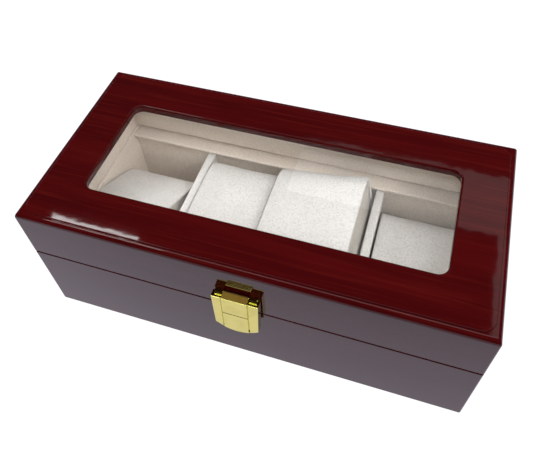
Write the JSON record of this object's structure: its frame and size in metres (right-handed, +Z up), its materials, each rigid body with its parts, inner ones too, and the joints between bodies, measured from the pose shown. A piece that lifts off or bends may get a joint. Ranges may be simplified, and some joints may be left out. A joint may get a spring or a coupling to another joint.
{
  "type": "watch box",
  "caption": "Lacquered wooden watch box with a glazed lid on back hinges, a hanging front latch, and fabric-lined compartments that hold watch pillows.",
  "frame": {"origin": "centre of the rectangle that the base walls stand on, at the table surface", "axes": "+X along the front to the right as seen from the front, +Y from the front to the back, +Z up"},
  "size_m": [0.24, 0.1275, 0.0876],
  "materials": {
    "lacquered_wood": "high gloss lacquer over red-stained wood, straight grain along the length",
    "lining_fabric": "matt woven lining in warm beige over board",
    "pillow_fabric": "soft off-white cloth with a fine nap",
    "hinge_brass": "plated brass, satin",
    "latch_brass": "polished pale gold plating",
    "window_glass": "clear polished",
    "bottom_board": "plain stained board",
    "felt": "dark felt"
  },
  "bodies": {
    "base": {"base_front_wall": "lacquered_wood", "base_back_wall": "lacquered_wood", "base_left_wall": "lacquered_wood", "base_right_wall": "lacquered_wood", "base_bottom_panel": "bottom_board", "base_felt_sheet": "felt", "floor_lining": "lining_fabric", "side_lining_left": "lining_fabric", "side_lining_right": "lining_fabric", "front_partition": "lining_fabric", "back_partition": "lining_fabric", "front_ledge": "lining_fabric", "back_ledge": "lining_fabric", "divider_left": "lining_fabric", "divider_centre": "lining_fabric", "divider_right": "lining_fabric", "hinge_left_base_leaf": "hinge_brass", "hinge_right_base_leaf": "hinge_brass", "hinge_left_pin": "hinge_brass", "hinge_right_pin": "hinge_brass", "base_hinge_screws": "hinge_brass", "latch_catch": "latch_brass", "catch_nails": "latch_brass"},
    "lid": {"lid_top_frame": "lacquered_wood", "window_glass": "window_glass", "lid_front_wall": "lacquered_wood", "lid_back_wall": "lacquered_wood", "lid_left_wall": "lacquered_wood", "lid_right_wall": "lacquered_wood", "lid_front_lining": "lining_fabric", "lid_back_lining": "lining_fabric", "lid_left_lining": "lining_fabric", "lid_right_lining": "lining_fabric", "hinge_left_lid_leaf": "hinge_brass", "hinge_right_lid_leaf": "hinge_brass", "lid_hinge_screws": "hinge_brass", "latch_lid_plate": "latch_brass", "latch_plate_nails": "latch_brass", "latch_pin": "latch_brass"},
    "flap": {"latch_flap": "latch_brass"},
    "pillow_1_body": {"pillow_1": "pillow_fabric"},
    "pillow_2_body": {"pillow_2": "pillow_fabric"},
    "pillow_3_body": {"pillow_3": "pillow_fabric"},
    "pillow_4_body": {"pillow_4": "pillow_fabric"}
  },
  "joints": [
    {"name": "lid_hinge", "type": "hinge", "parent": "base", "child": "lid", "pos_m": [0, 0.0602, 0.0532], "axis": [-1, 0, 0], "range_deg": [0, 95]},
    {"name": "latch_swing", "type": "hinge", "parent": "lid", "child": "flap", "pos_m": [0, -0.0595, 0.069], "axis": [-1, 0, 0], "range_deg": [0, 100]},
    {"name": "pillow_1_lift", "type": "slide", "parent": "base", "child": "pillow_1_body", "axis": [0, 0, 1], "range_m": [0, 0.022]},
    {"name": "pillow_2_lift", "type": "slide", "parent": "base", "child": "pillow_2_body", "axis": [0, 0, 1], "range_m": [0, 0.028]},
    {"name": "pillow_3_lift", "type": "slide", "parent": "base", "child": "pillow_3_body", "axis": [0, 0, 1], "range_m": [0, 0.012]},
    {"name": "pillow_4_lift", "type": "slide", "parent": "base", "child": "pillow_4_body", "axis": [0, 0, 1], "range_m": [0, 0.037]}
  ]
}
